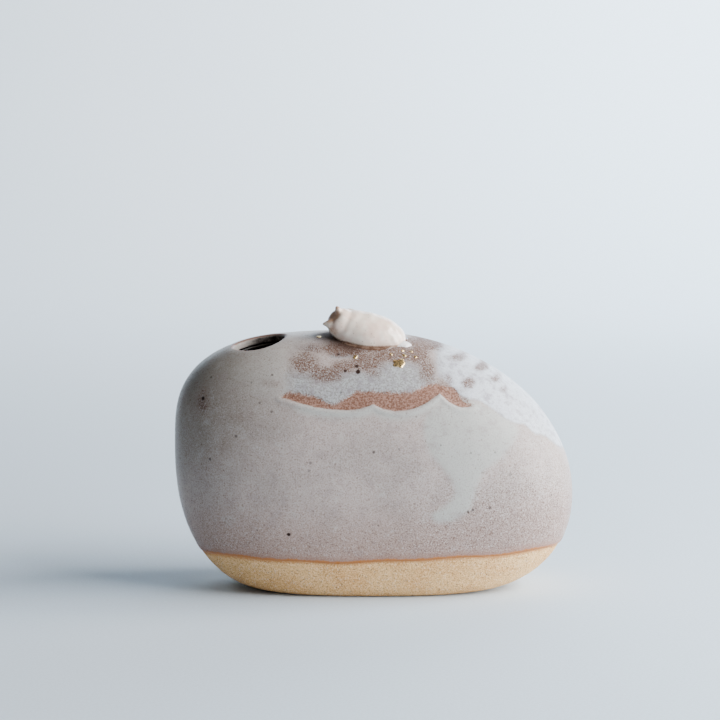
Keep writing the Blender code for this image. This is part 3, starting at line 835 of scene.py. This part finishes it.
class Graph:
    """The nodes of one material, with sizes in millimetres."""

    def __init__(self, name):
        self.material = bpy.data.materials.new(name)
        self.material.use_nodes = True
        self.tree = self.material.node_tree
        self.shader = self.tree.nodes["Principled BSDF"]
        self.place = self.node("ShaderNodeTexCoord").outputs["Object"]

    def node(self, kind, **settings):
        made = self.tree.nodes.new(kind)
        for name, value in settings.items():
            setattr(made, name, value)
        return made

    def feed(self, socket, value):
        if isinstance(value, bpy.types.NodeSocket):
            self.tree.links.new(value, socket)
        else:
            socket.default_value = value

    def set(self, name, value):
        """Sets or feeds an input of the shader."""
        self.feed(self.shader.inputs[name], value)

    def attribute(self, name):
        return self.node("ShaderNodeAttribute", attribute_name=name).outputs["Fac"]

    def noise(self, size, detail=3.0, roughness=0.55, warp=0.0):
        made = self.node("ShaderNodeTexNoise")
        self.feed(made.inputs["Vector"], self.place)
        made.inputs["Scale"].default_value = 1.0 / (size * MM)
        made.inputs["Detail"].default_value = detail
        made.inputs["Roughness"].default_value = roughness
        made.inputs["Distortion"].default_value = warp
        return made.outputs["Fac"]

    def math(self, operation, a, b):
        made = self.node("ShaderNodeMath", operation=operation)
        self.feed(made.inputs[0], a)
        self.feed(made.inputs[1], b)
        return made.outputs["Value"]

    def times(self, a, b):
        return self.math("MULTIPLY", a, b)

    def plus(self, a, b):
        return self.math("ADD", a, b)

    def centred(self, noise, strength):
        """Noise around 0 instead of around a half."""
        return self.times(self.math("SUBTRACT", noise, 0.5), strength)

    def step(self, value, start, end, low=0.0, high=1.0):
        """A smooth step from low to high as the value passes from start to end."""
        made = self.node("ShaderNodeMapRange", interpolation_type="SMOOTHSTEP")
        settings = {"Value": value, "From Min": start, "From Max": end, "To Min": low, "To Max": high}
        for name, number in settings.items():
            self.feed(made.inputs[name], number)
        return made.outputs["Result"]

    def mix(self, share, a, b):
        made = self.node("ShaderNodeMix", data_type="RGBA")
        self.feed(made.inputs[0], share)
        for socket, colour in ((made.inputs[6], a), (made.inputs[7], b)):
            self.feed(socket, colour if isinstance(colour, bpy.types.NodeSocket) else (*colour, 1.0))
        return made.outputs[2]

    def specks(self, size, density, radius, soft=0.5):
        """Round specks in a share of cells: size is the cells' width, radius is in cells."""
        cells = self.node("ShaderNodeTexVoronoi")
        self.feed(cells.inputs["Vector"], self.place)
        cells.inputs["Scale"].default_value = 1.0 / (size * MM)
        chance = self.node("ShaderNodeSeparateColor")
        self.feed(chance.inputs[0], cells.outputs["Color"])
        shown = self.math("LESS_THAN", chance.outputs[0], density)
        disc = self.step(cells.outputs["Distance"], radius * soft, radius, 1.0, 0.0)
        return self.times(shown, disc)

    def bump(self, height, depth, strength=1.0):
        """Bumps as high as the depth in millimetres."""
        made = self.node("ShaderNodeBump")
        made.inputs["Strength"].default_value = strength
        made.inputs["Distance"].default_value = depth * MM
        self.feed(made.inputs["Height"], height)
        self.set("Normal", made.outputs["Normal"])


class GlazeGraph(Graph):
    """The nodes of the glaze, with what its layers share."""

    def __init__(self, name):
        super().__init__(name)
        self.fine = self.noise(1.6, 4.0, 0.65)
        self.grain = self.noise(0.55, 2.0, 0.6)
        self.sand = self.noise(0.38, 2.0, 0.7)
        self.coarse = self.step(self.sand, 0.53, 0.63)
        self.ragged = self.centred(self.fine, 1.6)
        self.cloud = self.centred(self.noise(3.4, 4.0, 0.6), 1.5)
        self.density = self.attribute("speckle")
        self.above_line = self.attribute("above_line")
        self.foot_shade_and_glaze = self.attribute("foot_shade_and_glaze")
        self.shoulder = self.attribute("shoulder")


# The colours of the glaze, in linear light. A pair is the two ends that a noise mixes.
MAUVE = ((0.44, 0.36, 0.33), (0.375, 0.312, 0.284))
PALE_MAUVE = (0.44, 0.365, 0.335)
WARM_LOW_DOWN = (0.35, 0.225, 0.18)
CREAM = (0.42, 0.415, 0.385)
# The colour of the painted shade on the left end.
LEFT_END_SHADE = (0.225, 0.195, 0.165)
DENSE_SPECKLE = (0.27, 0.20, 0.18)
DARK_SMUDGE = (0.27, 0.215, 0.205)
PALE_SMUDGE = (0.46, 0.42, 0.40)
PALE_SAND = (0.56, 0.51, 0.48)
DARK_SAND = (0.165, 0.10, 0.078)
SMALL_SPECK = (0.16, 0.10, 0.08)
MEDIUM_SPECK = (0.13, 0.065, 0.045)
THICK_WHITE = ((0.38, 0.395, 0.43), (0.70, 0.74, 0.80))
THIN_WHITE = ((0.24, 0.22, 0.215), (0.40, 0.41, 0.41))
LAVENDER = (0.235, 0.195, 0.215)
SAND_IN_WHITE = (0.16, 0.12, 0.12)
BROWN = ((0.120, 0.064, 0.044), (0.225, 0.155, 0.125))
BROWN_DOTS = ((0.075, 0.032, 0.020), (0.15, 0.080, 0.056))
WHITE_DOTS = (0.46, 0.44, 0.45)
# Dark brown glaze and painted shade around the animal's foot.
FOOT_SHADE_AND_GLAZE = (0.045, 0.020, 0.012)
BAND = ((0.145, 0.060, 0.034), (0.31, 0.165, 0.120))
BAND_ON_SHOULDER = (0.14, 0.07, 0.055)
DARK_SPOT = (0.022, 0.009, 0.006)
LINE_HALO = (0.30, 0.165, 0.125)
LINE_RUST = (0.42, 0.155, 0.045)
# The colour of the painted shade inside the neck of the mouth.
NECK_SHADE = (0.016, 0.011, 0.009)
BROWN_RIM = (0.20, 0.095, 0.065)


def glaze_ground(g):
    """The grey-mauve glaze, warmer low down, with painted shade on the upper left end and smudged all over.
    """
    broad = g.noise(11.0, 4.0)
    smudge = g.noise(4.2, 4.0, 0.62, 0.4)
    colour = g.mix(g.step(broad, 0.36, 0.64), *MAUVE)
    colour = g.mix(g.times(g.step(g.fine, 0.45, 0.75), 0.30), colour, PALE_MAUVE)
    colour = g.mix(g.step(g.above_line, 1.0, 24.0, 0.75, 0.0), colour, WARM_LOW_DOWN)
    colour = g.mix(g.times(g.attribute("cream"), 0.88), colour, CREAM)
    # Painted shade over the left end.
    colour = g.mix(g.times(g.attribute("left_end_shade"), 0.78), colour, LEFT_END_SHADE)
    colour = g.mix(g.step(g.density, 0.7, 1.4, 0.0, 0.40), colour, DENSE_SPECKLE)
    colour = g.mix(g.step(smudge, 0.50, 0.72, 0.0, 0.45), colour, DARK_SMUDGE)
    return g.mix(g.step(smudge, 0.28, 0.46, 0.35, 0.0), colour, PALE_SMUDGE)


def glaze_speckle(g, colour):
    """Adds sand and round specks. Also gives where the specks are."""
    sandy = g.step(g.density, 0.0, 1.0, 0.22, 0.95)
    pale = g.step(g.sand, 0.46, 0.34)
    small = g.specks(0.80, g.density, 0.46, 0.2)
    medium = g.specks(1.70, g.times(g.density, 0.40), 0.26, 0.2)
    colour = g.mix(g.times(pale, g.times(sandy, 0.75)), colour, PALE_SAND)
    colour = g.mix(g.times(g.coarse, sandy), colour, DARK_SAND)
    colour = g.mix(g.times(small, 0.42), colour, SMALL_SPECK)
    colour = g.mix(g.times(medium, 0.55), colour, MEDIUM_SPECK)
    return colour, g.plus(small, medium)


def glaze_white(g, colour):
    """Adds the poured white, thick on the right shoulder and thin on the crown."""
    white = g.step(g.plus(g.attribute("white"), g.times(g.cloud, 0.45)), 0.15, 0.75)
    thick = g.mix(g.grain, *THICK_WHITE)
    thin = g.mix(g.step(g.grain, 0.36, 0.60), *THIN_WHITE)
    washed = g.mix(g.step(g.shoulder, 0.2, 0.9), thin, thick)
    colour = g.mix(g.times(white, 0.9), colour, washed)
    lavender = g.times(g.step(g.noise(2.2, 5.0, 0.7), 0.49, 0.64), white)
    colour = g.mix(g.times(lavender, 0.6), colour, LAVENDER)
    return g.mix(g.times(g.coarse, g.times(white, 0.30)), colour, SAND_IN_WHITE)


def glaze_brown(g, colour):
    """Adds the brown mottles and the dark under the animal, which is partly dark brown glaze and partly
    painted shade. Also gives how brown the glaze is.
    """
    torn = g.times(g.plus(g.ragged, g.cloud), 0.32)
    brown = g.step(g.plus(g.attribute("brown"), torn), 0.05, 0.85)
    colour = g.mix(g.times(brown, 0.72), colour, g.mix(g.fine, *BROWN))
    dots = g.step(g.plus(g.sand, g.step(brown, 0.0, 1.0, -0.22, 0.03)), 0.46, 0.60)
    colour = g.mix(g.times(dots, 0.93), colour, g.mix(g.fine, *BROWN_DOTS))
    white_dots = g.times(g.step(g.sand, 0.44, 0.34), g.step(brown, 0.1, 0.7, 0.0, 0.6))
    colour = g.mix(white_dots, colour, WHITE_DOTS)
    # Darkens around the foot: dark brown glaze and painted shade.
    return g.mix(g.times(g.foot_shade_and_glaze, 0.92), colour, FOOT_SHADE_AND_GLAZE), brown


def glaze_band(g, colour):
    """Adds the scalloped reddish band. Also gives where it is."""
    above_edge = g.plus(g.attribute("above_edge"), g.times(g.ragged, 0.35))
    frayed = g.plus(g.ragged, g.centred(g.sand, 3.0))
    below_edge = g.plus(g.attribute("below_edge"), g.times(frayed, 1.2))
    band = g.times(g.step(above_edge, -0.05, 0.30), g.step(below_edge, -0.5, 0.7))
    band_colour = g.mix(g.step(g.grain, 0.38, 0.64), *BAND)
    band_colour = g.mix(g.step(g.shoulder, 0.0, 0.5, 0.0, 0.5), band_colour, BAND_ON_SHOULDER)
    return g.mix(g.times(band, 0.94), colour, band_colour), band


def glaze_spots(g, colour):
    """Adds the dark spots. Also gives where they are."""
    spots = 0.0
    for x, z, radius, strength in SPOTS:
        reach = g.node("ShaderNodeVectorMath", operation="DISTANCE")
        g.feed(reach.inputs[0], g.place)
        reach.inputs[1].default_value = Vector((x, front_of_slice(x, z), z)) * MM
        ragged = g.times(reach.outputs["Value"], g.step(g.fine, 0.3, 0.7, 0.8, 1.25))
        spot = g.step(ragged, 0.5 * radius * MM, 1.1 * radius * MM, strength, 0.0)
        spots = g.math("MAXIMUM", spot, spots)
    return g.mix(spots, colour, DARK_SPOT), spots


def glaze_edges(g, colour):
    """Adds the rusty glaze line, the rim of the mouth and the painted shade in the neck. Also gives where
    the neck is.
    """
    line_wander = g.plus(g.times(g.ragged, 0.7), g.times(g.cloud, 0.5))
    line = g.plus(g.above_line, line_wander)
    colour = g.mix(g.step(line, 0.9, 3.4, 0.60, 0.0), colour, LINE_HALO)
    colour = g.mix(g.step(line, 0.55, 1.15, 0.95, 0.0), colour, LINE_RUST)
    rim = g.plus(g.attribute("from_mouth"), g.times(g.ragged, 0.3))
    rim_share = g.times(g.step(rim, 0.0, 0.4), g.step(rim, 0.7, 1.3, 0.85, 0.0))
    # Where the painted shade of the neck lies.
    neck = g.times(g.step(rim, -0.1, 0.25, 1.0, 0.0), g.attribute("shaded_neck"))
    colour = g.mix(neck, colour, NECK_SHADE)
    return g.mix(rim_share, colour, BROWN_RIM), neck


def glaze_material():
    g = GlazeGraph("speckled_glaze")
    colour, specks = glaze_speckle(g, glaze_ground(g))
    colour, brown = glaze_brown(g, glaze_white(g, colour))
    colour, band = glaze_band(g, colour)
    colour, spots = glaze_spots(g, colour)
    colour, neck = glaze_edges(g, colour)
    g.set("Base Color", colour)
    g.set("Specular IOR Level", 0.14)
    dull_parts = g.math("MAXIMUM", g.math("MAXIMUM", g.foot_shade_and_glaze, neck), g.times(brown, 0.45))
    rough_parts = g.plus(g.times(band, 0.22), g.times(spots, 0.2))
    rough_parts = g.plus(rough_parts, g.times(dull_parts, 0.55))
    g.set("Roughness", g.plus(g.step(g.fine, 0.3, 0.7, 0.26, 0.40), rough_parts))
    relief = g.plus(g.times(g.fine, 0.7), g.times(specks, -0.35))
    relief = g.plus(relief, g.times(g.plus(band, brown), g.grain))
    relief = g.plus(relief, g.times(g.sand, 0.5))
    g.bump(relief, 0.10, 0.7)
    return g.material


def clay_material():
    g = Graph("stoneware_clay")
    broad = g.noise(7.0, 4.0)
    fine = g.noise(0.9, 4.0, 0.7)
    colour = g.mix(g.step(broad, 0.35, 0.65), (0.66, 0.345, 0.125), (0.76, 0.45, 0.19))
    sand = g.noise(0.42, 2.0, 0.7)
    colour = g.mix(g.step(fine, 0.42, 0.70, 0.0, 0.55), colour, (0.84, 0.54, 0.27))
    colour = g.mix(g.step(sand, 0.50, 0.64, 0.0, 0.65), colour, (0.93, 0.68, 0.40))
    colour = g.mix(g.step(sand, 0.36, 0.47, 0.75, 0.0), colour, (0.36, 0.175, 0.065))
    grog = g.specks(0.8, 0.32, 0.42)
    pits = g.specks(0.9, 0.22, 0.36)
    dust = g.specks(0.45, 0.25, 0.4)
    colour = g.mix(g.times(grog, 0.55), colour, (0.80, 0.62, 0.44))
    colour = g.mix(g.times(dust, 0.45), colour, (0.36, 0.19, 0.09))
    # The pits are drawn darker: painted shade in the little hollows.
    colour = g.mix(g.times(pits, 0.65), colour, (0.22, 0.11, 0.055))
    flash = g.step(g.plus(g.attribute("under_line"), fine), 0.5, 1.6, 0.7, 0.0)
    colour = g.mix(flash, colour, (0.46, 0.185, 0.06))
    g.set("Base Color", colour)
    g.set("Roughness", g.step(fine, 0.3, 0.7, 0.75, 0.95))
    g.set("Specular IOR Level", 0.25)
    relief = g.plus(g.plus(fine, sand), g.times(grog, 0.5))
    g.bump(g.math("SUBTRACT", relief, pits), 0.22, 0.9)
    return g.material


def liner_material():
    g = Graph("liner_glaze")
    broad = g.noise(6.0, 4.0)
    # Painted shade: the liner is drawn near black, far darker than its light grey glaze, for the dark deep
    # in the hollow.
    colour = g.mix(g.step(broad, 0.35, 0.65), (0.026, 0.020, 0.016), (0.042, 0.034, 0.028))
    colour = g.mix(g.times(g.specks(1.1, 0.35, 0.4), 0.3), colour, (0.07, 0.045, 0.032))
    g.set("Base Color", colour)
    g.set("Roughness", g.step(broad, 0.3, 0.7, 0.42, 0.55))
    g.bump(g.noise(1.5, 3.0), 0.08, 0.6)
    return g.material


def porcelain_material():
    g = Graph("porcelain")
    broad = g.noise(3.5, 4.0)
    fine = g.noise(0.7, 3.0, 0.6)
    ragged = g.centred(fine, 0.7)
    colour = g.mix(g.step(broad, 0.35, 0.65), (0.84, 0.70, 0.58), (0.79, 0.58, 0.47))
    # Brown glaze, with painted shade on the face and under the chin.
    stain_and_shade = g.step(g.plus(g.attribute("stain_and_shade"), ragged), 0.15, 0.85)
    colour = g.mix(g.times(stain_and_shade, 0.85), colour, (0.40, 0.20, 0.11))
    foot = g.step(g.plus(g.attribute("foot"), ragged), 0.35, 0.95, 0.0, 0.8)
    colour = g.mix(foot, colour, (0.30, 0.17, 0.11))
    colour = g.mix(g.times(g.specks(0.9, 0.12, 0.3), 0.5), colour, (0.34, 0.20, 0.14))
    g.set("Base Color", colour)
    polish = g.step(fine, 0.3, 0.7, 0.12, 0.22)
    g.set("Roughness", g.plus(polish, g.times(stain_and_shade, 0.6)))
    g.set("Coat Weight", 0.2)
    g.set("Coat Roughness", 0.06)
    g.bump(fine, 0.03, 0.6)
    return g.material


def bond_material(name, deep, light):
    g = Graph(name)
    fine = g.noise(1.1, 4.0, 0.65)
    colour = g.mix(g.step(fine, 0.38, 0.62), deep, light)
    colour = g.mix(g.times(g.specks(0.7, 0.2, 0.35), 0.5), colour, (0.12, 0.06, 0.04))
    g.set("Base Color", colour)
    g.set("Roughness", g.step(fine, 0.3, 0.7, 0.10, 0.24))
    g.bump(fine, 0.08, 0.6)
    return g.material


def gold_material():
    g = Graph("gold")
    fine = g.noise(0.5, 3.0, 0.6)
    colour = g.mix(g.step(fine, 0.35, 0.65), (1.0, 0.74, 0.40), (0.84, 0.55, 0.22))
    g.set("Base Color", colour)
    g.set("Metallic", 1.0)
    g.set("Roughness", g.step(fine, 0.3, 0.7, 0.18, 0.42))
    g.bump(fine, 0.12, 0.8)
    return g.material


def backdrop_material():
    g = Graph("backdrop")
    broad = g.noise(120.0, 2.0)
    across = g.node("ShaderNodeSeparateXYZ")
    g.feed(across.inputs[0], g.place)
    # Painted light: the sweep is drawn brighter and bluer towards the right, where the lamps are.
    painted_light_to_right = g.step(across.outputs["X"], -0.15, 0.30)
    colour = g.mix(broad, (0.595, 0.67, 0.745), (0.615, 0.69, 0.765))
    colour = g.mix(painted_light_to_right, colour, (0.635, 0.775, 0.90))
    grain = g.step(g.noise(0.9, 3.0, 0.7), 0.35, 0.65, 0.30, 0.0)
    g.set("Base Color", g.mix(grain, colour, (0.48, 0.54, 0.60)))
    g.set("Roughness", 0.7)
    g.set("Specular IOR Level", 0.2)
    return g.material


# The studio

CAMERA_TARGET = Vector((-4.3, 0.0, 71.2)) * MM
CAMERA_DISTANCE = 0.620
CAMERA_PITCH = math.radians(6.0)
CAMERA_LENS = 98.8
DAYLIGHT = (0.95, 0.98, 1.0)
WORLD_COLOUR = (1.0, 0.97, 0.94)
WORLD_STRENGTH = 0.12
# Square lamps: name, place, target, size, power in watts and spread in degrees.
LIGHTS = (
    ("key", (0.58, -0.13, 0.26), (0.03, 0.0, 0.045), 0.70, 25.0, 180.0),
    ("backdrop_light", (1.4, 0.5, 1.2), (0.3, 1.5, 0.5), 0.8, 60.0, 100.0),
)


def aim(obj, target):
    obj.rotation_euler = (target - obj.location).to_track_quat("-Z", "Y").to_euler()


def add_camera():
    camera = add_object("camera", bpy.data.cameras.new("camera"))
    back = Vector((0.0, -math.cos(CAMERA_PITCH), math.sin(CAMERA_PITCH)))
    camera.location = CAMERA_TARGET + back * CAMERA_DISTANCE
    camera.data.lens = CAMERA_LENS
    camera.data.clip_start = 0.01
    aim(camera, CAMERA_TARGET)
    bpy.context.scene.camera = camera


def add_light(name, place, target, size, watts, spread):
    light = bpy.data.lights.new(name, "AREA")
    light.size = size
    light.energy = watts
    light.color = DAYLIGHT
    light.spread = math.radians(spread)
    lamp = add_object(name, light)
    lamp.location = place
    aim(lamp, Vector(target))


def add_world(colour, strength):
    world = bpy.data.worlds.new("studio")
    world.use_nodes = True
    sky = world.node_tree.nodes["Background"]
    sky.inputs["Color"].default_value = (*colour, 1.0)
    sky.inputs["Strength"].default_value = strength
    bpy.context.scene.world = world


def add_backdrop():
    """A seamless sweep: a level floor that curves up into a wall."""
    half_width, front, bend_start, bend_radius, top = 2.5, -1.6, 0.9, 0.6, 2.4
    profile = [(front, 0.0), (bend_start, 0.0)]
    for angle in np.linspace(0.0, math.pi / 2, 17)[1:]:
        profile.append((bend_start + bend_radius * math.sin(angle), bend_radius * (1.0 - math.cos(angle))))
    profile.append((bend_start + bend_radius, top))
    points = [(side * half_width, y, z) for y, z in profile for side in (-1, 1)]
    faces = [(2 * row, 2 * row + 1, 2 * row + 3, 2 * row + 2) for row in range(len(profile) - 1)]
    mesh = bpy.data.meshes.new("backdrop")
    mesh.from_pydata(points, [], faces)
    mesh.shade_smooth()
    mesh.materials.append(backdrop_material())
    add_object("backdrop", mesh)


def main():
    make_coat(glaze_material())
    make_foot(clay_material())
    make_hollow(liner_material())
    make_animal(porcelain_material())
    make_bond(bond_material("bond_glaze", (0.085, 0.042, 0.026), (0.17, 0.10, 0.07)))
    make_puddle(bond_material("puddle_glaze", (0.62, 0.56, 0.54), (0.82, 0.78, 0.76)))
    gold = gold_material()
    for number, (x, y, half_size) in enumerate(GOLD_PLACES, start=1):
        make_gold(number, x, y, half_size, gold)
    add_camera()
    add_backdrop()
    add_world(WORLD_COLOUR, WORLD_STRENGTH)
    for lamp in LIGHTS:
        add_light(*lamp)


main()
